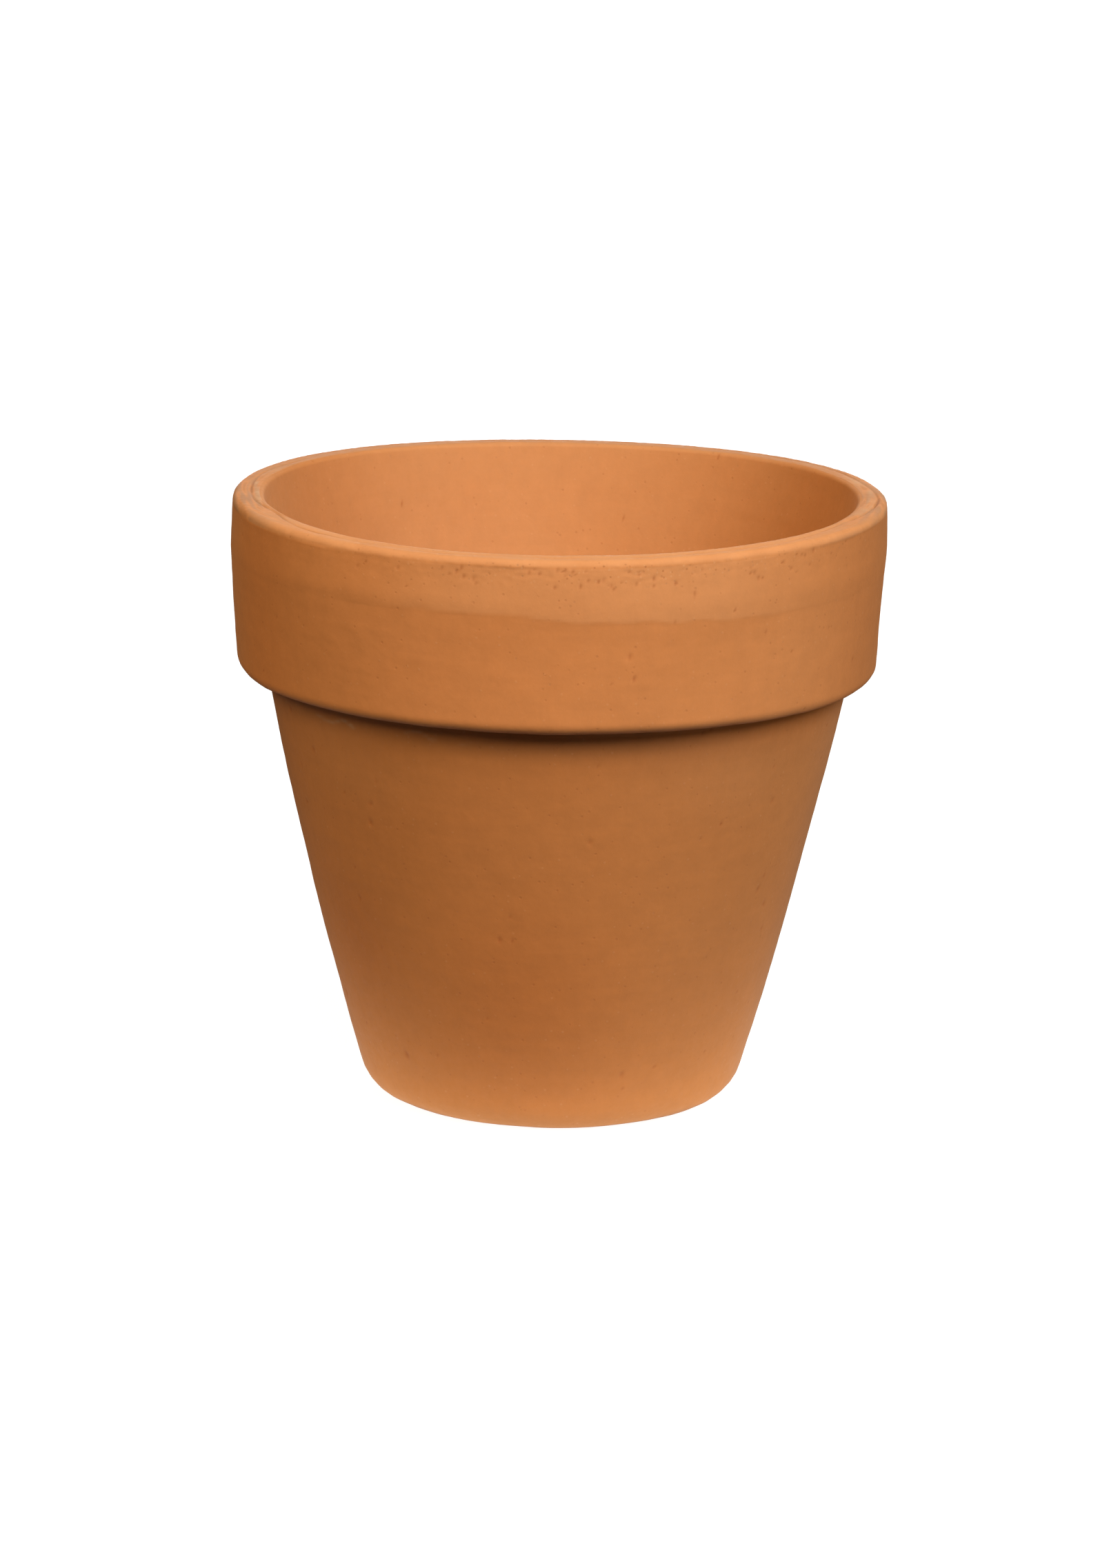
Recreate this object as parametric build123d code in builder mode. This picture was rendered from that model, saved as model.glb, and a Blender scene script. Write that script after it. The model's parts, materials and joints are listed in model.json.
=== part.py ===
from build123d import *
import os

# Terracotta flower pot, one fired clay wall with a plain collar around its mouth.
# Millimetres, +Z up. The origin is the centre of the underside, on the ground plane.
# Every outline is drawn in the XZ plane as (radius, height) and turned about the Z axis.

# ---- Driving dimensions -------------------------------------------------------------
rim_diameter = 150.0  # across the collar at its widest, before that line is softened
pot_height = 139.7
base_diameter = 85.3  # where the wall's line would meet the ground, before the heel is rounded

collar_height = 40.0  # from the lip down to the shoulder
collar_overhang = 6.2  # how far the collar's lower edge stands out from the wall
collar_flare = 1.85  # how much wider the collar's crest is than its lower edge, on the radius
collar_crest_drop = 11.0  # from the lip down to the collar's widest line
lip_lean = 0.4  # how far the lip's outer edge stands in from the crest

lip_thickness = 7.0  # across the top of the wall, before its edges are rounded
wall_thickness = 8.0  # across the wall at the floor, measured level
floor_thickness = 9.0
wall_bulge = 1.0  # how far the outside of the wall bows out of a straight cone

drain_hole_diameter = 20.0
recess_diameter = 56.0  # shallow hollow in the underside, which leaves a ring to stand on
recess_depth = 1.2

heel_radius = 9.4  # outside, where the wall turns under
collar_edge_radius = 2.7  # lower edge of the collar
shoulder_radius = 1.1  # inside corner between the shoulder and the wall
crest_radius = 60.0  # soft turn at the collar's widest line
lip_outer_radius = 1.7
lip_inner_radius = 1.1
inside_corner_radius = 7.0  # between the floor and the inside wall
recess_edge_radius = 0.8
drain_edge_radius = 1.0  # worn edges of the drain hole, above and below

# ---- Radii and heights that follow --------------------------------------------------
crest_radius_out = rim_diameter / 2
collar_edge_out = crest_radius_out - collar_flare
wall_top_out = collar_edge_out - collar_overhang
base_out = base_diameter / 2
lip_out = crest_radius_out - lip_lean
lip_in = lip_out - lip_thickness
shoulder_z = pot_height - collar_height
crest_z = pot_height - collar_crest_drop
wall_lean = (wall_top_out - base_out) / shoulder_z
floor_in = base_out + wall_lean * floor_thickness - wall_thickness

# ---- Pot ----------------------------------------------------------------------------
with BuildPart() as pot:
    # The outside, as a solid body with its collar.
    with BuildSketch(Plane.XZ) as outside:
        with BuildLine():
            Polyline((0, 0), (base_out, 0))
            SagittaArc((base_out, 0), (wall_top_out, shoulder_z), -wall_bulge)
            Polyline(
                (wall_top_out, shoulder_z),
                (collar_edge_out, shoulder_z),
                (crest_radius_out, crest_z),
                (lip_out, pot_height),
                (0, pot_height),
                (0, 0),
            )
        make_face()
        corner_rounds = (
            (base_out, 0, heel_radius),
            (wall_top_out, shoulder_z, shoulder_radius),
            (collar_edge_out, shoulder_z, collar_edge_radius),
            (crest_radius_out, crest_z, crest_radius),
            (lip_out, pot_height, lip_outer_radius),
        )
        for corner_r, corner_z, radius in corner_rounds:
            corner = outside.vertices().sort_by_distance((corner_r, corner_z))[0]
            fillet(corner, radius)
    revolve(axis=Axis.Z)

    # The inside, a plain cone with a flat floor.
    with BuildSketch(Plane.XZ) as inside:
        with BuildLine():
            Polyline(
                (0, floor_thickness),
                (floor_in, floor_thickness),
                (lip_in, pot_height),
                (0, pot_height),
                (0, floor_thickness),
            )
        make_face()
        floor_corner = inside.vertices().sort_by_distance((floor_in, floor_thickness))[0]
        fillet(floor_corner, inside_corner_radius)
    revolve(axis=Axis.Z, mode=Mode.SUBTRACT)

    # The shallow hollow in the underside.
    with BuildSketch(Plane.XY):
        Circle(recess_diameter / 2)
    extrude(amount=recess_depth, mode=Mode.SUBTRACT)

    # The drain hole in the middle of the floor.
    with Locations(Location((0, 0, floor_thickness))):
        Hole(drain_hole_diameter / 2, depth=floor_thickness)

    circles = pot.edges().filter_by(GeomType.CIRCLE)
    lip_inner_edge = circles.filter_by(lambda edge: abs(edge.radius - lip_in) < 0.01)
    fillet(lip_inner_edge, lip_inner_radius)
    drain_edges = pot.edges().filter_by(GeomType.CIRCLE).filter_by(
        lambda edge: abs(edge.radius - drain_hole_diameter / 2) < 0.01
    )
    fillet(drain_edges, drain_edge_radius)
    recess_rim = pot.edges().filter_by(GeomType.CIRCLE).filter_by(
        lambda edge: abs(edge.radius - recess_diameter / 2) < 0.01 and edge.center().Z < recess_depth / 2
    )
    fillet(recess_rim, recess_edge_radius)
pot.part.label = "pot"

os.makedirs("parts", exist_ok=True)
export_step(pot.part, "parts/pot.step")

print("volume in cm3:", round(pot.part.volume / 1000, 1))
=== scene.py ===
"""Terracotta flower pot: the detailed clay wall, its material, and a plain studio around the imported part.

Metres, +Z up, in the part's own frame. The front of the pot, towards the camera, is -Y.
Azimuth is measured round the pot from the front: 0 faces the camera and a quarter turn faces +X.
"""

import json
import math

import bpy
import numpy as np
from mathutils import Matrix, Vector


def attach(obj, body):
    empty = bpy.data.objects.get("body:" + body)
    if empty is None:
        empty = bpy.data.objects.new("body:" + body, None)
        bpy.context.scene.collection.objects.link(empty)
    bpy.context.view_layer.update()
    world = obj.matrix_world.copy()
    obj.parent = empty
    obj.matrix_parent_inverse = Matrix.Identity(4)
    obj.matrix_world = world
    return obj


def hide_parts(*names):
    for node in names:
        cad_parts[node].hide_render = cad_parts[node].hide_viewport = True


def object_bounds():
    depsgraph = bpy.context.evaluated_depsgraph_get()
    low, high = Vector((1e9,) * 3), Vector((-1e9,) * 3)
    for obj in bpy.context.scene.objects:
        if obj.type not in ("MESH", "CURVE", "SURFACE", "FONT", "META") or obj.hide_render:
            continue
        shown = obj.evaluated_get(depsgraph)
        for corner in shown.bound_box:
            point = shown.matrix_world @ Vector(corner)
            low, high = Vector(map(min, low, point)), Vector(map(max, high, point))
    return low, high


MM = 0.001
TURN = 2 * math.pi

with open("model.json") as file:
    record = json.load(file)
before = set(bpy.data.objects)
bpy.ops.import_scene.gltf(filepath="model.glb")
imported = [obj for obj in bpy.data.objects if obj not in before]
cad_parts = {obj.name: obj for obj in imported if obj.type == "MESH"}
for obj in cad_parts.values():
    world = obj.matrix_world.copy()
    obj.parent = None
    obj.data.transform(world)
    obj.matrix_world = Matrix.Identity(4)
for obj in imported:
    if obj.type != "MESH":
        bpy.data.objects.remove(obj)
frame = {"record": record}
cad_low, cad_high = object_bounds()
mounts = {mount["name"]: mount for mount in frame["record"]["mounts"]}

# ---- Sizes: the frame gives the outer ones, and the rest are the section's own ---------
RIM_RADIUS = (cad_high.x - cad_low.x) / 2
HEIGHT = cad_high.z - cad_low.z
DRAIN_RADIUS = mounts["drain_hole"]["dims"]["r_mm"] * MM
SHOULDER_Z = mounts["ring_shoulder"]["pos_m"][2]

COLLAR_FLARE = 1.85 * MM
COLLAR_OVERHANG = 6.2 * MM
CREST_DROP = 11.0 * MM
LIP_LEAN = 0.4 * MM
LIP_THICKNESS = 7.0 * MM
FLOOR_THICKNESS = 9.0 * MM
WALL_FOOT_THICKNESS = 8.0 * MM
WALL_BULGE = 1.0 * MM
BASE_RADIUS = 42.65 * MM
RECESS_RADIUS = 28.0 * MM
RECESS_DEPTH = 1.2 * MM

HOLE_EDGE_ROUNDING = 1.0 * MM
RECESS_CORNER_ROUNDING = 0.3 * MM
RECESS_EDGE_ROUNDING = 0.6 * MM
HEEL_ROUNDING = 9.4 * MM
SHOULDER_ROUNDING = 1.2 * MM
COLLAR_EDGE_ROUNDING = 2.8 * MM
CREST_ROUNDING = 40.0 * MM
LIP_OUTER_ROUNDING = 1.7 * MM
LIP_INNER_ROUNDING = 1.1 * MM
INSIDE_CORNER_ROUNDING = 7.0 * MM

# ---- Relief: how far each kind of unevenness moves the clay -----------------------------
UNEVENNESS = 0.07 * MM
SWELLS = 0.016 * MM
CLOSE_GRAIN = 0.006 * MM
TURNING_RINGS = 0.010 * MM
LEDGE_HEIGHT = 0.08 * MM
GROOVE_DEPTH = 0.32 * MM
BEAD_HEIGHT = 0.15 * MM
LIP_ROUGHNESS = 0.018 * MM
STREAK_RELIEF = 0.025 * MM
OPEN_ROUGHNESS = 0.03 * MM
RIM_LIFT = 0.85 * MM

COLUMNS = 840  # points round the pot

# Each random field or set of pits has a seed of its own, counted up from one of these.
TURNING_SEED = 7
TEXTURE_SEED = 12
LEDGE_SEED = 31
LIP_SEED = 32
PIT_SEED = 41
BLOOM_SEED = 51


# ---- The section through the wall -------------------------------------------------------
def rounded_section(corners):
    """Points along a closed outline of (radius, height) corners, in order round the clay.

    Each corner is (run, radius, height, rounding, step): the name of the run that leaves it, the radius
    of the arc there, and the spacing of points along that run. Returns the points, the name of each
    point's run, and how far along that run it is, from 0 to 1.
    """
    places = [np.array((r, z)) for _, r, z, _, _ in corners]
    count = len(corners)
    arcs = []
    for i, (_, _, _, rounding, _) in enumerate(corners):
        here, before, after = places[i], places[i - 1], places[(i + 1) % count]
        back = (before - here) / np.linalg.norm(before - here)
        on = (after - here) / np.linalg.norm(after - here)
        half = math.acos(float(np.clip(back @ on, -1, 1))) / 2
        middle = here + (back + on) / np.linalg.norm(back + on) * rounding / math.sin(half)
        first = here + back * rounding / math.tan(half) - middle
        last = here + on * rounding / math.tan(half) - middle
        turn = math.atan2(first[0] * last[1] - first[1] * last[0], float(first @ last))
        pieces = max(4, round(abs(turn) / math.radians(11)))
        bearings = math.atan2(first[1], first[0]) + turn * np.linspace(0, 1, pieces + 1)
        arcs.append(middle + rounding * np.stack([np.cos(bearings), np.sin(bearings)], axis=1))
    points, names, along = [], [], []
    for i, (name, _, _, _, step) in enumerate(corners):
        start, end = arcs[i][-1], arcs[(i + 1) % count][0]
        steps = max(1, round(float(np.linalg.norm(end - start)) / step))
        shares = [k / steps for k in range(1, steps)]
        points += [*arcs[i], *(start + (end - start) * share for share in shares)]
        along += [0.0] * len(arcs[i]) + shares
        names += [name] * (len(arcs[i]) + len(shares))
    return np.array(points), np.array(names), np.array(along)


def clay_section():
    """The pot's own section: underside, heel, wall, shoulder, collar, lip, inside and floor."""
    edge_r = RIM_RADIUS - COLLAR_FLARE
    wall_r = edge_r - COLLAR_OVERHANG
    crest_z = HEIGHT - CREST_DROP
    lip_out = RIM_RADIUS - LIP_LEAN
    lip_in = lip_out - LIP_THICKNESS
    lean = (wall_r - BASE_RADIUS) / SHOULDER_Z
    floor_r = BASE_RADIUS + lean * FLOOR_THICKNESS - WALL_FOOT_THICKNESS
    points, names, along = rounded_section([
        ("recess", DRAIN_RADIUS, RECESS_DEPTH, HOLE_EDGE_ROUNDING, 1.2 * MM),
        ("recess", RECESS_RADIUS, RECESS_DEPTH, RECESS_CORNER_ROUNDING, 0.4 * MM),
        ("foot", RECESS_RADIUS, 0.0, RECESS_EDGE_ROUNDING, 0.9 * MM),
        ("wall", BASE_RADIUS, 0.0, HEEL_ROUNDING, 0.6 * MM),
        ("shoulder", wall_r, SHOULDER_Z, SHOULDER_ROUNDING, 0.5 * MM),
        ("collar", edge_r, SHOULDER_Z, COLLAR_EDGE_ROUNDING, 0.5 * MM),
        ("collar_top", RIM_RADIUS, crest_z, CREST_ROUNDING, 0.34 * MM),
        ("lip", lip_out, HEIGHT, LIP_OUTER_ROUNDING, 0.2 * MM),
        ("inside", lip_in, HEIGHT, LIP_INNER_ROUNDING, 1.1 * MM),
        ("floor", floor_r, FLOOR_THICKNESS, INSIDE_CORNER_ROUNDING, 1.2 * MM),
        ("drain", DRAIN_RADIUS, FLOOR_THICKNESS, HOLE_EDGE_ROUNDING, 0.7 * MM),
    ])
    wall = names == "wall"
    points[wall, 0] += 4 * WALL_BULGE * along[wall] * (1 - along[wall])
    return points, names


def section_normals(points):
    """Outward normals of a closed outline that runs with the clay on its left."""
    tangent = np.roll(points, -1, axis=0) - np.roll(points, 1, axis=0)
    tangent /= np.linalg.norm(tangent, axis=1, keepdims=True)
    return np.stack([tangent[:, 1], -tangent[:, 0]], axis=1)


def arc_lengths(points):
    """How far along the outline each of its points is."""
    return np.concatenate([[0], np.cumsum(np.linalg.norm(np.diff(points, axis=0), axis=1))])


# ---- Fields over the clay ---------------------------------------------------------------
def waves(places, shortest, longest, count, seed):
    """A smooth random field of about unit size: a sum of plane waves of these lengths."""
    random = np.random.default_rng(seed)
    field = np.zeros(places.shape[:-1])
    for _ in range(count):
        direction = random.normal(size=3)
        direction /= np.linalg.norm(direction)
        length = shortest * (longest / shortest) ** random.random()
        field += np.cos(places @ (direction * TURN / length) + random.random() * TURN)
    return field * math.sqrt(2 / count)


def ramp(value, low, high):
    """0 below low, 1 above high, and a smooth step between."""
    t = np.clip((value - low) / (high - low), 0, 1)
    return t * t * (3 - 2 * t)


def bell(value, middle, width):
    """1 at middle, and falling off on both sides."""
    return np.exp(-(((value - middle) / width) ** 2))


class Clay:
    """The pot's grid of points: the section turned round the axis, with what shapes and colours it.

    Rows run along the section and columns round the pot. out is the relief, in metres along the normal.
    The fields after it are masks, which are held to 0..1 when they go to the mesh.
    """

    def __init__(self):
        self.points, self.names = clay_section()
        self.arc = arc_lengths(self.points)
        self.radius, self.height = self.points[:, :1], self.points[:, 1:]
        self.azimuth = (np.arange(COLUMNS) / COLUMNS - 0.5) * TURN
        self.aside = np.abs(self.azimuth)
        self.places = self.turned(self.radius, self.height)
        self.outside = self.rows("wall", "collar", "collar_top")
        self.inside = self.rows("inside", "floor")
        self.wall = self.rows("wall")
        self.collar = self.rows("collar", "collar_top")
        self.lip = self.rows("lip")
        self.on_top = self.lip * (self.height > HEIGHT - 1.0 * MM)
        self.shape = self.places.shape[:2]
        self.out = np.zeros(self.shape)
        self.pits = np.zeros(self.shape)
        self.bloom = np.zeros(self.shape)
        self.pale = np.zeros(self.shape)
        self.dull_and_sheen = np.zeros(self.shape)
        self.painted_shade = np.zeros(self.shape)
        self.deep = np.zeros(self.shape)
        self.open = np.zeros(self.shape)

    def on(self, *runs):
        """Which rows belong to these runs of the section."""
        return np.isin(self.names, runs)

    def rows(self, *runs):
        """1 on the rows of these runs and 0 on the others, as a column."""
        return self.on(*runs).astype(float)[:, None]

    def turned(self, radius, height):
        """The places in space at these radii and heights, for every azimuth."""
        across, towards = radius * np.sin(self.azimuth), radius * -np.cos(self.azimuth)
        return np.stack(np.broadcast_arrays(across, towards, height), axis=-1)

    def round_about(self, shortest, longest, seed):
        """A smooth random field by azimuth alone."""
        ring = np.stack([np.sin(self.azimuth), -np.cos(self.azimuth), 0 * self.azimuth], axis=-1)
        return waves(ring * RIM_RADIUS, shortest, longest, 12, seed)

    def add_turning(self):
        """Slow unevenness, fine level rings from the wheel, and the clay's close grain."""
        slow = waves(self.places, 22 * MM, 70 * MM, 24, TURNING_SEED)
        self.out += UNEVENNESS * slow * (self.outside + self.inside)
        self.out += SWELLS * waves(self.places, 5 * MM, 14 * MM, 40, TURNING_SEED + 1)
        self.out += CLOSE_GRAIN * waves(self.places, 1.8 * MM, 3.5 * MM, 60, TURNING_SEED + 2)
        level = self.places * np.array((0.06, 0.06, 1.0))
        rings = waves(level, 1.8 * MM, 5.0 * MM, 30, TURNING_SEED + 3)
        where = (0.6 + 0.4 * np.tanh(slow)) * (self.outside + 2.0 * self.inside)
        self.out += TURNING_RINGS * rings * where

    def add_ledge(self):
        """The edge that a sponge left round the collar: above it the clay is paler and a little proud, and
        painted shade darkens a thin line under it.
        """
        az, aside = self.azimuth, self.aside
        drop = 12.5 + 1.6 * ramp(az, -0.20, 0.12) + 0.8 * ramp(az, 0.25, 0.60) - 2.4 * ramp(az, 2.0, 2.9)
        line = HEIGHT - (drop + 0.22 * self.round_about(9 * MM, 40 * MM, LEDGE_SEED)) * MM
        above = ramp(self.height - line, -0.35 * MM, 0.35 * MM) * self.collar
        fade = 1 - ramp(self.height - line, 1.0 * MM, 8.0 * MM)
        crisp = 0.35 + 0.65 * bell(az, -0.52, 0.32) + 0.3 * bell(aside, 2.4, 0.6)
        wiped = ramp(az, -0.70, -0.20) * (1 - ramp(az, 0.40, 0.95)) + 0.7 * bell(aside, 2.7, 0.5)
        self.out += LEDGE_HEIGHT * crisp * above * fade
        self.pale += 0.36 * wiped * above
        # Painted shade: a thin dark line just under the edge.
        self.painted_shade += 0.165 * crisp * bell(self.height, line - 0.2 * MM, 0.4 * MM) * self.collar

    def lip_groove(self):
        """The radius at which the groove on top of the lip runs, by azimuth."""
        az = self.azimuth
        inset = 3.5 - 0.5 * np.sin(az) + 2.2 * bell(az, -1.2, 0.22) + 2.2 * bell(az, 1.05, 0.20)
        inset += 0.25 * self.round_about(20 * MM, 80 * MM, LIP_SEED)
        return RIM_RADIUS - inset * MM

    def add_lip_groove(self, groove):
        """A fine groove round the top of the lip, darkened with painted shade, a soft bead inside it, and
        roughness all over.
        """
        share = 0.20 + 0.75 * bell(self.aside, 1.45, 0.5)
        share += 0.2 * self.round_about(9 * MM, 40 * MM, LIP_SEED + 1)
        sunk = np.clip(share, 0.05, 1) * bell(self.radius, groove, 0.25 * MM) * self.on_top
        # Painted shade darkens the groove.
        self.painted_shade += 0.60 * sunk
        self.out -= GROOVE_DEPTH * sunk
        self.out += BEAD_HEIGHT * bell(self.radius, groove - 1.9 * MM, 1.2 * MM) * self.on_top
        self.out += LIP_ROUGHNESS * waves(self.places, 1.2 * MM, 3.0 * MM, 60, TEXTURE_SEED + 1) * self.lip

    def add_lip_streaks(self, groove):
        """Combed streaks at the two ends of the lip: painted shade in their cracks, greyer and less bright
        clay, and chalky wear.
        """
        aside = self.aside
        combed = np.stack(np.broadcast_arrays(self.radius, 0.10 * RIM_RADIUS * self.azimuth, 0.0), axis=-1)
        streaks = waves(combed, 0.9 * MM, 2.2 * MM, 30, LIP_SEED + 3)
        ends = bell(aside, 1.50, 0.40) * self.lip
        outer = ramp(self.radius, groove - 0.6 * MM, groove + 0.2 * MM)
        self.out += STREAK_RELIEF * streaks * ends
        # Painted shade in the cracks between the streaks.
        self.painted_shade += 0.40 * ends * ramp(-streaks, 0.9, 1.7)
        self.dull_and_sheen += ends * np.clip(0.45 + 0.33 * streaks, 0, 0.8) * (0.7 + 0.3 * outer)
        self.dull_and_sheen += 0.45 * ramp(aside, 1.6, 2.0) * (1 - ends) * self.lip
        worn = 0.5 + 0.3 * self.round_about(5 * MM, 25 * MM, LIP_SEED + 2) + 0.3 * streaks
        chalky = (0.42 + 0.45 * bell(aside, 1.85, 0.35)) * bell(aside, 1.45, 0.5)
        inner = bell(self.radius, groove - 1.3 * MM, 1.3 * MM) * self.on_top
        self.bloom += chalky * np.clip(worn, 0, 1) * inner

    def add_open_texture(self):
        """The rough, pitted clay just under the front of the lip."""
        under = ramp(self.height, HEIGHT - 8 * MM, HEIGHT - 2.5 * MM) * self.rows("collar_top", "lip")
        under = under * (1 - ramp(self.height, HEIGHT - 1.1 * MM, HEIGHT - 0.6 * MM))
        self.open = under * (0.12 + 0.88 * bell(self.azimuth, 0.15, 0.6))
        self.out += OPEN_ROUGHNESS * self.open * waves(self.places, 1.1 * MM, 2.4 * MM, 60, TEXTURE_SEED)
        high = self.on("collar_top") & (self.points[:, 1] > HEIGHT - 6.5 * MM)
        self.stamp_pits(high, 46, (0.35 * MM, 0.75 * MM), PIT_SEED, (0.15, 0.36))
        self.stamp_pits(high, 8, (0.35 * MM, 0.65 * MM), PIT_SEED + 4, (0.95, 0.15))

    def stamp_pits(self, chosen, count, sizes, seed, gathered=None):
        """Sinks small upright pits into random places on the chosen rows.

        sizes are the smallest and the largest width. gathered is the azimuth that the pits lie about and
        their spread from it; without it they lie all round the pot.
        """
        random = np.random.default_rng(seed)
        rows = np.flatnonzero(chosen)
        for _ in range(count):
            row, column = rows[random.integers(len(rows))], random.integers(COLUMNS)
            if gathered is not None:
                column = int((random.normal(*gathered) / TURN + 0.5) * COLUMNS)
            size, stretch = random.uniform(*sizes), random.uniform(0.8, 2.0)
            spacing = self.points[row, 0] * TURN / COLUMNS
            near = np.flatnonzero(np.abs(self.arc - self.arc[row]) < 2 * size * stretch)
            reach = math.ceil(2 * size / spacing)
            across = np.arange(-reach, reach + 1)
            dy = ((self.arc[near] - self.arc[row]) / stretch)[:, None]
            dx = across * spacing + random.uniform(-0.5, 0.5) * dy
            shape = np.exp(-(((dx**2 + dy**2) / (0.5 * size) ** 2) ** 1.3))
            cells = np.ix_(near, (across + column) % COLUMNS)
            self.out[cells] -= size * random.uniform(0.12, 0.24) * shape
            self.pits[cells] = np.maximum(self.pits[cells], shape * random.uniform(0.4, 1.0))

    def add_pits(self):
        """Scattered pits where grit or air came out of the clay."""
        self.stamp_pits(self.on("wall"), 100, (0.55 * MM, 1.20 * MM), PIT_SEED + 1)
        self.stamp_pits(self.on("collar", "collar_top"), 45, (0.40 * MM, 0.85 * MM), PIT_SEED + 2)
        self.stamp_pits(self.on("inside", "floor"), 24, (0.40 * MM, 0.70 * MM), PIT_SEED + 3)
        self.stamp_pits(self.on("foot", "recess"), 40, (0.40 * MM, 0.90 * MM), PIT_SEED + 5)

    def patches(self):
        """Broad random patches, from 0 to 1."""
        return np.clip(0.5 + 0.5 * waves(self.places, 8 * MM, 30 * MM, 30, BLOOM_SEED), 0, 1)

    def add_pale_edge_and_highlight(self, patches):
        """Clay paler along the edge of the lip: wiped pale all round, with a painted highlight that is
        strongest at the front.
        """
        edge = ramp(self.height, HEIGHT - 2.2 * MM, HEIGHT - 0.8 * MM) * self.rows("collar_top", "lip")
        self.pale += (0.35 + 0.25 * bell(self.azimuth, 0.0, 0.9)) * edge * (0.8 + 0.2 * patches)

    def add_crust(self, patches):
        """A thin crust of lime on the wall, under the left of the collar."""
        wander = 0.5 * waves(self.places, 5 * MM, 14 * MM, 20, BLOOM_SEED + 1)
        streak = bell(self.height, SHOULDER_Z - (4.0 + wander) * MM, 0.35 * MM)
        self.bloom += 0.55 * streak * bell(self.azimuth, -0.75, 0.35) * ramp(patches, 0.2, 0.6) * self.wall

    def add_painted_shadows(self):
        """Painted shadow along the foot where it meets the floor, and painted shade a little under the
        collar.
        """
        foot = (1.0 + 1.6 * ramp(self.aside, 0.4, 0.9)) * MM
        self.painted_shade += 0.95 * (1 - ramp(self.height, 0.40 * MM, foot)) * self.wall
        sheltered = bell(self.height, SHOULDER_Z - 4.2 * MM, 2.5 * MM) * bell(self.azimuth, 0.1, 0.9)
        self.painted_shade += 0.22 * sheltered * self.rows("wall", "shoulder")

    def add_patches_and_painted_light(self):
        """Darker, redder patches on the wall; painted shade on its flanks, the collar's ends, the inside and
        the back of the lip; painted light under the collar; painted sheen down the sides.
        """
        az, aside = self.azimuth, self.aside
        turned_away = 1 - ramp(aside, 1.6, 2.2)
        # Darker, redder patches low on the front of the wall and on its left.
        self.deep += 0.65 * bell(az, -0.12, 0.42) * bell(self.height, 32 * MM, 22 * MM) * self.wall
        self.deep += 0.65 * bell(az, -0.98, 0.25) * bell(self.height, 45 * MM, 16 * MM) * self.wall
        # Painted shade: the wall darker and redder on its flanks, fading out at the back.
        self.deep += 0.20 * ramp(aside, 1.0, 1.35) * turned_away * self.wall
        # Painted shade: the collar darker and redder towards its two ends.
        self.deep += (ramp(az, 0.75, 1.30) + 0.8 * bell(az, -1.15, 0.25)) * turned_away * self.collar
        # Painted shade: the inside darker and redder on its left and right.
        self.deep += (0.90 * bell(az, 1.98, 0.42) + 1.0 * bell(az, -2.05, 0.42)) * self.inside
        # Painted shade: the outer edge of the lip darker and redder at the back.
        outer = ramp(self.radius, RIM_RADIUS - 3.43 * MM, RIM_RADIUS - 1.93 * MM)
        self.deep += 0.8 * ramp(aside, 1.9, 2.4) * outer * self.lip
        # Painted light: the wall paler just under the collar on its two flanks.
        flanks = bell(az, 0.62, 0.30) + bell(az, -0.75, 0.25)
        self.pale += 0.10 * flanks * bell(self.height, 86 * MM, 9 * MM) * self.wall
        # Painted sheen: the wall and collar greyer down their two sides.
        sides = 0.35 * bell(az, -1.55, 0.25) + 0.38 * bell(az, 1.42, 0.27)
        self.dull_and_sheen += sides * (self.wall + 0.7 * self.collar)

    def warped(self):
        """The grid with its relief, a little out of round, its lip not quite level and its foot worn flat."""
        az = self.azimuth
        normals = section_normals(self.points)
        radius = self.radius + self.out * normals[:, :1]
        height = self.height + self.out * normals[:, 1:]
        rim = np.clip(self.height / HEIGHT, 0, 1) ** 9
        lift = 0.05 - 0.40 * np.cos(az) - 0.55 * np.cos(2 * az)
        lift += 0.15 * np.sin(2 * az) + 0.18 * np.cos(3 * az)
        height = height + rim * lift * RIM_LIFT
        radius = radius + rim * (0.06 + 0.33 * np.sin(az) - 0.06 * np.cos(2 * az)) * MM
        inner = (1 - ramp(self.radius, RIM_RADIUS - 7 * MM, RIM_RADIUS - 2 * MM)) * self.rows("lip", "inside")
        radius = radius + 0.18 * MM * rim * inner * (1 + np.sin(az))
        edge = bell(self.height, SHOULDER_Z, 8 * MM) * self.rows("wall", "shoulder", "collar")
        height = height + (0.02 - 0.18 * np.sin(az)) * MM * edge
        places = self.turned(radius, np.maximum(height, 0.0))
        shift = bell(self.height, SHOULDER_Z - 7.7 * MM, 38 * MM) * self.rows("wall", "shoulder")
        places[..., 0] += 0.25 * MM * shift
        return places


def worked_clay():
    """The clay with all its relief and marks."""
    clay = Clay()
    clay.add_turning()
    clay.add_ledge()
    groove = clay.lip_groove()
    clay.add_lip_groove(groove)
    clay.add_lip_streaks(groove)
    clay.add_open_texture()
    clay.add_pits()
    patches = clay.patches()
    clay.add_pale_edge_and_highlight(patches)
    clay.add_crust(patches)
    clay.add_painted_shadows()
    clay.add_patches_and_painted_light()
    return clay


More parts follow.
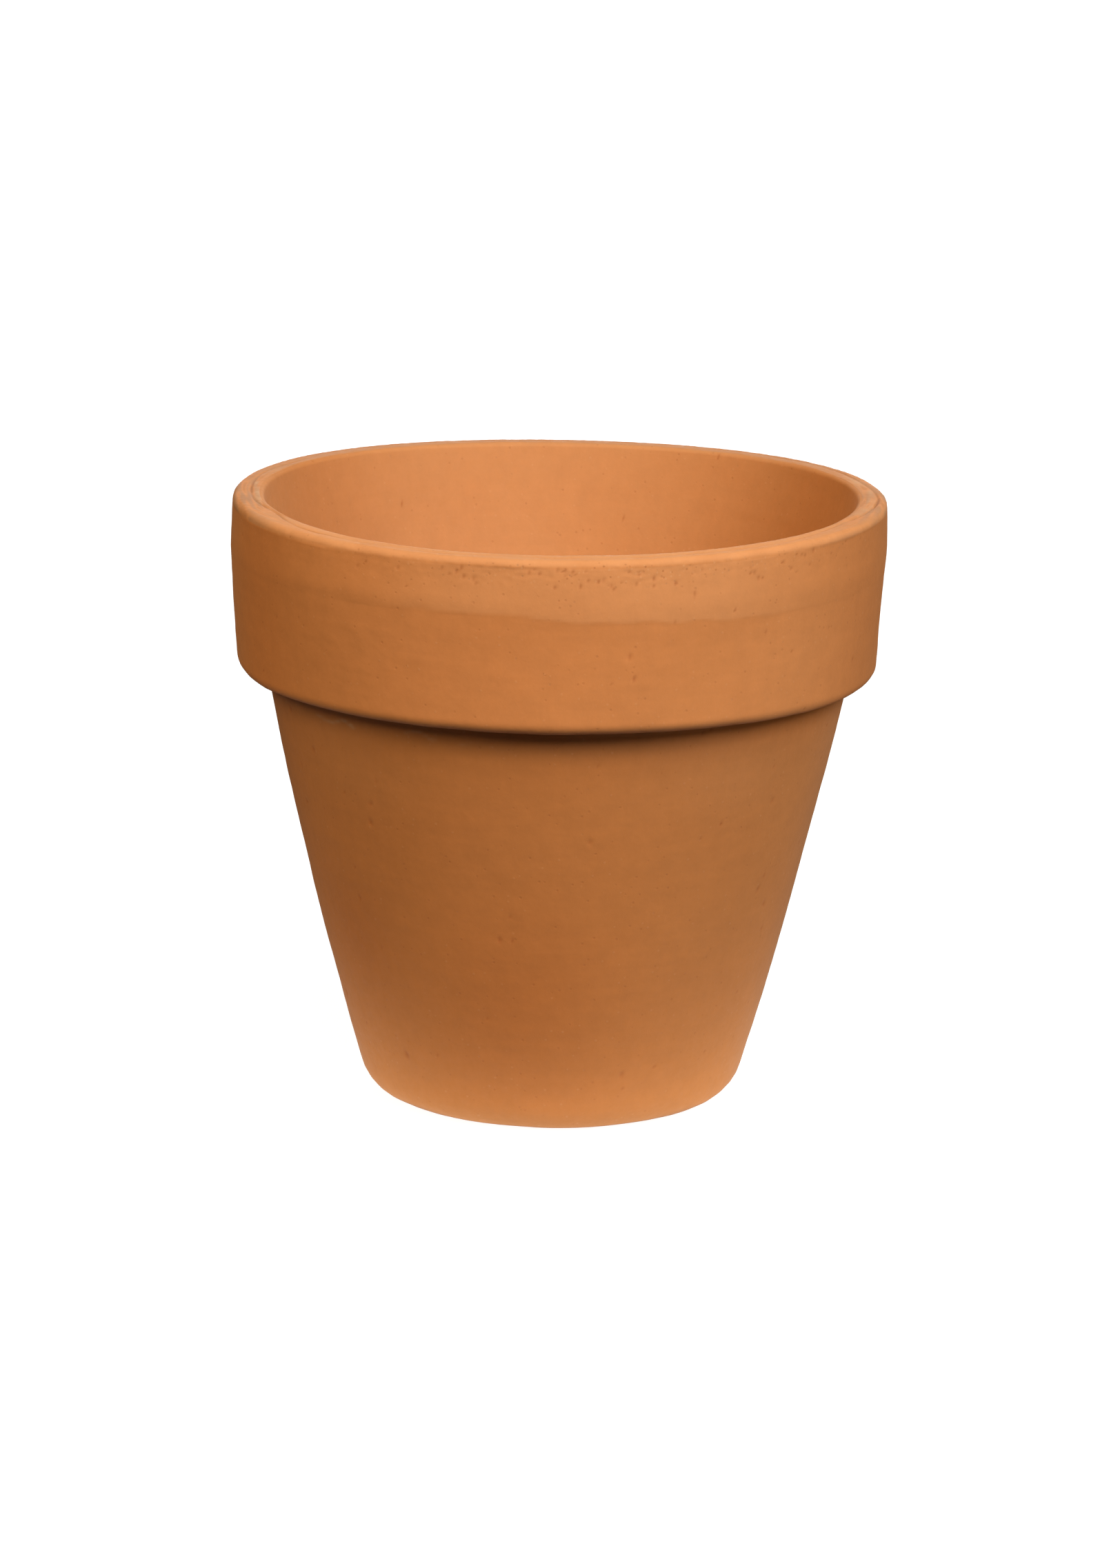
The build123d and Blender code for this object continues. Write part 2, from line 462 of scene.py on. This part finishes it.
# ---- The pot's mesh ---------------------------------------------------------------------
def pot_mesh():
    """The clay as one closed grid of quads."""
    clay = worked_clay()
    rows = len(clay.points)
    column, row = np.meshgrid(np.arange(COLUMNS), np.arange(rows))
    right, up = (column + 1) % COLUMNS, (row + 1) % rows
    corners = ((row, column), (row, right), (up, right), (up, column))
    quads = np.stack([r * COLUMNS + c for r, c in corners], axis=-1)
    mesh = bpy.data.meshes.new("terracotta_pot")
    mesh.vertices.add(rows * COLUMNS)
    mesh.vertices.foreach_set("co", clay.warped().astype(np.float32).ravel())
    mesh.loops.add(quads.size)
    mesh.loops.foreach_set("vertex_index", quads.astype(np.int32).ravel())
    mesh.polygons.add(rows * COLUMNS)
    mesh.polygons.foreach_set("loop_start", np.arange(0, quads.size, 4, dtype=np.int32))
    mesh.polygons.foreach_set("use_smooth", np.ones(rows * COLUMNS, bool))
    add_map(mesh, clay, column, row)
    add_masks(mesh, clay)
    mesh.update()
    mesh.validate()
    return mesh


def add_map(mesh, clay, column, row):
    """A map named OFBake: it runs round the pot across, and along the section upwards."""
    whole = clay.arc[-1] + np.linalg.norm(clay.points[0] - clay.points[-1])
    share = np.append(clay.arc, whole) / whole
    corners = ((column, row), (column + 1, row), (column + 1, row + 1), (column, row + 1))
    layout = np.stack([part for c, r in corners for part in (c / COLUMNS, share[r])], axis=-1)
    mesh.uv_layers.new(name="OFBake").uv.foreach_set("vector", layout.astype(np.float32).ravel())


def add_masks(mesh, clay):
    """The masks that the material reads, each a number from 0 to 1 at every point."""
    masks = {
        "pits": clay.pits,
        "bloom": clay.bloom,
        "pale": clay.pale,
        "dull_and_sheen": clay.dull_and_sheen,
        "painted_shade": clay.painted_shade,
        "deep": clay.deep,
        "open": clay.open,
        "wiped": clay.rows("collar", "collar_top", "lip"),
        "lining": clay.rows("inside", "floor", "drain"),
    }
    for name, mask in masks.items():
        values = np.broadcast_to(np.clip(mask, 0, 1), clay.shape)
        made = mesh.attributes.new(name, "FLOAT", "POINT")
        made.data.foreach_set("value", values.astype(np.float32).ravel())


# ---- Material ---------------------------------------------------------------------------
BODY = (0.560, 0.202, 0.058, 1)
WIPED = (0.668, 0.250, 0.082, 1)
LINING = (0.620, 0.262, 0.102, 1)
REDDER = (0.53, 0.170, 0.040, 1)
PALE = (0.79, 0.372, 0.170, 1)
DEEP_AND_SHADE_TINT = (0.90, 0.80, 0.66, 1)
DULL_AND_SHEEN = (0.43, 0.222, 0.125, 1)
CHALK = (0.66, 0.42, 0.26, 1)
PAINTED_SHADE_COLOUR = (0.17, 0.062, 0.028, 1)
PIT_SHADE = (0.38, 0.090, 0.022, 1)
PALE_SAND = (0.76, 0.42, 0.22, 1)
DARK_SAND = (0.32, 0.080, 0.022, 1)


class Nodes:
    """Makes shader nodes in one tree. An input's value may be a number, a colour or another node's socket."""

    def __init__(self, tree):
        self.tree = tree
        tree.nodes.clear()

    def node(self, kind, inputs=None, **settings):
        made = self.tree.nodes.new("ShaderNode" + kind)
        for key, value in settings.items():
            setattr(made, key, value)
        for key, value in (inputs or {}).items():
            if isinstance(value, bpy.types.NodeSocket):
                self.tree.links.new(value, made.inputs[key])
            else:
                made.inputs[key].default_value = value
        return made

    def maths(self, operation, first, second):
        return self.node("Math", {0: first, 1: second}, operation=operation).outputs[0]

    def total(self, *values):
        sum_ = values[0]
        for value in values[1:]:
            sum_ = self.maths("ADD", sum_, value)
        return sum_

    def times(self, first, second):
        return self.maths("MULTIPLY", first, second)

    def spread(self, value, low, high, to_low=0.0, to_high=1.0):
        """value taken from low..high to to_low..to_high, and held there."""
        inputs = {0: value, 1: low, 2: high, 3: to_low, 4: to_high}
        return self.node("MapRange", inputs, clamp=True).outputs[0]

    def mix(self, share, first, second, blend="MIX"):
        inputs = {0: share, 6: first, 7: second}
        return self.node("Mix", inputs, data_type="RGBA", blend_type=blend).outputs[2]

    def noise(self, vector, size, detail=2.0, roughness=0.5):
        """Noise about 0, up to half either way, whose largest features are this many millimetres across."""
        inputs = {"Vector": vector, "Scale": 1 / size, "Detail": detail, "Roughness": roughness}
        return self.maths("SUBTRACT", self.node("TexNoise", inputs).outputs[0], 0.5)

    def stretched(self, vector, scale):
        return self.node("VectorMath", {0: vector, 1: scale}, operation="MULTIPLY").outputs[0]

    def mask(self, name):
        return self.node("Attribute", attribute_name=name).outputs[2]


def grains(n, clay, size, share, softness):
    """Scattered specks: this share of the cells hold a pale dot, and as many a dark one. Returns both."""
    cells = n.node("TexVoronoi", {"Vector": clay, "Scale": 1 / size})
    kind = n.node("SeparateColor", {0: cells.outputs["Color"]})
    dot = n.spread(cells.outputs["Distance"], 0.14, 0.14 + softness, 1.0, 0.0)
    pale = n.times(dot, n.spread(kind.outputs[0], 1 - share, 1 - share + 0.02))
    dark = n.times(dot, n.spread(kind.outputs[1], share, share - 0.02))
    return pale, dark


def region_colour(n, clay):
    """The colour of each region of the clay, before its grain."""
    colour = n.mix(n.mask("wiped"), BODY, WIPED)
    colour = n.mix(n.mask("lining"), colour, LINING)
    # Paler clay here includes painted light, greyer clay painted sheen, and the darker, redder tint painted
    # shade.
    colour = n.mix(n.mask("pale"), colour, PALE)
    colour = n.mix(n.mask("dull_and_sheen"), colour, DULL_AND_SHEEN)
    colour = n.mix(n.mask("deep"), colour, DEEP_AND_SHADE_TINT, "MULTIPLY")
    flush = n.spread(n.noise(clay, 30, 2.0, 0.4), -0.25, 0.25)
    return n.mix(n.times(flush, 0.16), colour, REDDER)


def clay_shade(n, clay, grain):
    """How light the clay is, about 1: clouds, mottling, grain, level rings and upright strokes."""
    clouds = n.times(n.noise(clay, 36, 2.0, 0.4), 0.08)
    mottle = n.times(n.noise(clay, 4.5, 3.0, 0.55), 0.115)
    rings = n.times(n.noise(n.stretched(clay, (0.05, 0.05, 1.0)), 1.8, 3.0), 0.045)
    strokes = n.times(n.noise(n.stretched(clay, (1.0, 1.0, 0.16)), 2.2, 3.0), 0.065)
    return n.total(1.0, clouds, mottle, n.times(grain, 0.06), rings, strokes)


def terracotta():
    """Unglazed red clay: clouded colour, sand grains, pits and a chalky bloom, all in millimetres of clay."""
    material = bpy.data.materials.new("terracotta")
    material.use_nodes = True
    n = Nodes(material.node_tree)
    place = n.node("TexCoord").outputs["Object"]
    clay = n.node("VectorMath", {0: place, 3: 1 / MM}, operation="SCALE").outputs[0]
    grain = n.noise(clay, 0.9, 2.0, 0.6)
    colour = n.mix(1.0, region_colour(n, clay), clay_shade(n, clay, grain), "MULTIPLY")

    pale, dark = grains(n, clay, 1.25, 0.10, 0.16)
    colour = n.mix(n.times(pale, 0.12), colour, PALE_SAND)
    colour = n.mix(n.times(dark, 0.18), colour, DARK_SAND)
    open_clay = n.mask("open")
    fine_pale, fine_dark = (n.times(dots, open_clay) for dots in grains(n, clay, 0.95, 0.30, 0.20))
    colour = n.mix(n.times(fine_pale, 0.35), colour, PALE_SAND)
    colour = n.mix(n.times(fine_dark, 0.45), colour, DARK_SAND)

    # Painted shade: the pits darker in their hollows.
    colour = n.mix(n.times(n.mask("pits"), 0.60), colour, PIT_SHADE)
    broken = n.spread(n.noise(clay, 1.3, 4.0, 0.7), -0.15, 0.12, 0.45, 1.0)
    colour = n.mix(n.times(n.mask("bloom"), broken), colour, CHALK)
    # Painted shade: darker in the lip's groove and cracks, under the sponge edge and the collar, and along
    # the foot.
    colour = n.mix(n.times(n.mask("painted_shade"), 0.60), colour, PAINTED_SHADE_COLOUR)

    rough = n.spread(n.noise(clay, 1.7, 3.0), -0.2, 0.2, 0.80, 0.94)
    relief = n.total(n.times(grain, 0.6), n.times(n.noise(clay, 1.4, 3.0), 0.8), n.times(pale, 0.4))
    relief = n.maths("SUBTRACT", relief, n.times(n.total(dark, fine_dark), 0.9))
    normal = n.node("Bump", {"Strength": 0.35, "Distance": 0.10 * MM, "Height": relief}).outputs[0]
    shader = n.node("BsdfPrincipled", {"Base Color": colour, "Roughness": rough, "Normal": normal})
    shader.inputs["Diffuse Roughness"].default_value = 0.2
    shader.inputs["Specular IOR Level"].default_value = 0.35
    n.node("OutputMaterial", {0: shader.outputs[0]})
    return material


def add_pot():
    pot = bpy.data.objects.new("terracotta_pot", pot_mesh())
    bpy.context.scene.collection.objects.link(pot)
    pot.data.materials.append(terracotta())
    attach(pot, "root")
    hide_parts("pot")


# ---- Studio -----------------------------------------------------------------------------
WHITE = (1, 1, 1, 1)
FLOOR_GREY = (0.25, 0.25, 0.25, 1)
FLOOR_LIGHT = 0.93
FLOOR_SIDES = 64
FLOOR_REACH = 12.0
FILL_LIGHT = 0.054


def add_floor():
    """A pale floor. The glows below it stand for the light that it throws back, so it lets them through."""
    turns = [TURN * k / FLOOR_SIDES for k in range(FLOOR_SIDES)]
    edge = [(FLOOR_REACH * math.cos(t), FLOOR_REACH * math.sin(t), 0) for t in turns]
    mesh = bpy.data.meshes.new("floor")
    mesh.from_pydata(edge, [], [list(range(FLOOR_SIDES))])
    mesh.materials.append(floor_paint())
    floor = bpy.data.objects.new("floor", mesh)
    bpy.context.scene.collection.objects.link(floor)
    floor.visible_diffuse = False
    floor.visible_glossy = False
    floor.visible_shadow = False


def floor_paint():
    """Nearly white from above. From below it is clear, so that the underside of the pot can be seen."""
    material = bpy.data.materials.new("floor")
    material.use_nodes = True
    nodes, links = material.node_tree.nodes, material.node_tree.links
    paint = nodes["Principled BSDF"]
    paint.inputs["Base Color"].default_value = FLOOR_GREY
    paint.inputs["Roughness"].default_value = 1.0
    paint.inputs["Specular IOR Level"].default_value = 0.0
    paint.inputs["Emission Color"].default_value = WHITE
    paint.inputs["Emission Strength"].default_value = FLOOR_LIGHT
    side = nodes.new("ShaderNodeNewGeometry")
    clear = nodes.new("ShaderNodeBsdfTransparent")
    choose = nodes.new("ShaderNodeMixShader")
    links.new(side.outputs["Backfacing"], choose.inputs[0])
    links.new(paint.outputs[0], choose.inputs[1])
    links.new(clear.outputs[0], choose.inputs[2])
    links.new(choose.outputs[0], nodes["Material Output"].inputs["Surface"])
    return material


def add_world(strength):
    """Even light from all round, with white behind the pot."""
    world = bpy.data.worlds.new("studio")
    bpy.context.scene.world = world
    world.use_nodes = True
    nodes, links = world.node_tree.nodes, world.node_tree.links
    fill = nodes["Background"]
    fill.inputs["Strength"].default_value = strength
    fill.inputs["Color"].default_value = WHITE
    seen = nodes.new("ShaderNodeBackground")
    seen.inputs["Color"].default_value = WHITE
    path = nodes.new("ShaderNodeLightPath")
    choose = nodes.new("ShaderNodeMixShader")
    links.new(path.outputs["Is Camera Ray"], choose.inputs[0])
    links.new(fill.outputs[0], choose.inputs[1])
    links.new(seen.outputs[0], choose.inputs[2])
    links.new(choose.outputs[0], nodes["World Output"].inputs[0])


def add_sun(name, azimuth, elevation, strength, spread, colour):
    """A large soft light. Its azimuth is round the pot from the front; all its angles are in degrees."""
    light = bpy.data.lights.new(name, "SUN")
    light.energy = strength
    light.angle = math.radians(spread)
    light.color = colour
    lamp = bpy.data.objects.new(name, light)
    a, e = math.radians(azimuth), math.radians(elevation)
    towards = Vector((math.sin(a) * math.cos(e), -math.cos(a) * math.cos(e), math.sin(e)))
    lamp.rotation_euler = towards.to_track_quat("Z", "Y").to_euler()
    bpy.context.scene.collection.objects.link(lamp)


def add_glow(across, deep, depth, brightness, colour):
    """Light that a white table throws up round the foot of the pot, from an ellipse of these half widths.

    Each glow lies at a depth of its own, because one lamp hides another at the same depth.
    """
    light = bpy.data.lights.new("glow", "AREA")
    light.shape = "ELLIPSE"
    light.size = 2 * across
    light.size_y = 2 * deep
    light.energy = math.pi * (math.pi * across * deep) * brightness
    light.color = colour
    lamp = bpy.data.objects.new("glow", light)
    lamp.location.z = -depth
    lamp.rotation_euler.x = math.pi
    lamp.visible_camera = False
    bpy.context.scene.collection.objects.link(lamp)


def add_studio():
    """The floor and the fill, two lights on each side, one low at the right, a low one from behind and the
    glows.
    """
    add_floor()
    add_world(FILL_LIGHT)
    add_sun("right_low", 40, 35, 1.95, 25, (1.0, 0.96, 0.91))
    add_sun("right_high", 60, 50, 0.79, 25, (0.51, 0.82, 1.0))
    add_sun("left_low", -35, 35, 1.36, 25, (1.0, 0.85, 0.54))
    add_sun("left_high", -15, 50, 0.67, 25, (1.0, 0.84, 0.49))
    add_sun("side", 90, 10, 0.40, 40, (1.0, 0.81, 0.20))
    add_sun("backdrop", 180, 7, 1.0, 28, (0.92, 0.96, 1.0))
    add_glow(80 * MM, 56 * MM, 1.0 * MM, 0.61, (0.79, 1.0, 0.69))
    add_glow(100 * MM, 62 * MM, 1.6 * MM, 0.88, (0.875, 0.84, 1.0))
    bpy.context.scene.view_settings.view_transform = "Standard"


# ---- Camera -----------------------------------------------------------------------------
CAMERA_DISTANCE = 1.4175
CAMERA_ELEVATION = math.radians(13.33)
CAMERA_ROLL = math.radians(0.78)
CAMERA_LENS = 140.9  # millimetres, like the sensor
CAMERA_SENSOR = 36.0
CAMERA_SHIFT = 0.00335
LOOK_AT_HEIGHT = 71.85 * MM


def add_camera():
    """The photograph's viewpoint: a long lens, in front of the pot and a little above it."""
    data = bpy.data.cameras.new("camera")
    data.lens = CAMERA_LENS
    data.sensor_width = CAMERA_SENSOR
    data.shift_x = CAMERA_SHIFT
    data.clip_start = 0.05
    data.clip_end = 50.0
    camera = bpy.data.objects.new("camera", data)
    bpy.context.scene.collection.objects.link(camera)
    cos_e, sin_e = math.cos(CAMERA_ELEVATION), math.sin(CAMERA_ELEVATION)
    backward = Vector((0, -cos_e, sin_e))
    level, upright = Vector((1, 0, 0)), Vector((0, sin_e, cos_e))
    right = level * math.cos(CAMERA_ROLL) + upright * math.sin(CAMERA_ROLL)
    up = upright * math.cos(CAMERA_ROLL) - level * math.sin(CAMERA_ROLL)
    turn = Matrix((right, up, backward)).transposed()
    place = Vector((0, 0, LOOK_AT_HEIGHT)) + backward * CAMERA_DISTANCE
    camera.matrix_world = Matrix.Translation(place) @ turn.to_4x4()
    bpy.context.scene.camera = camera


add_pot()
add_studio()
add_camera()
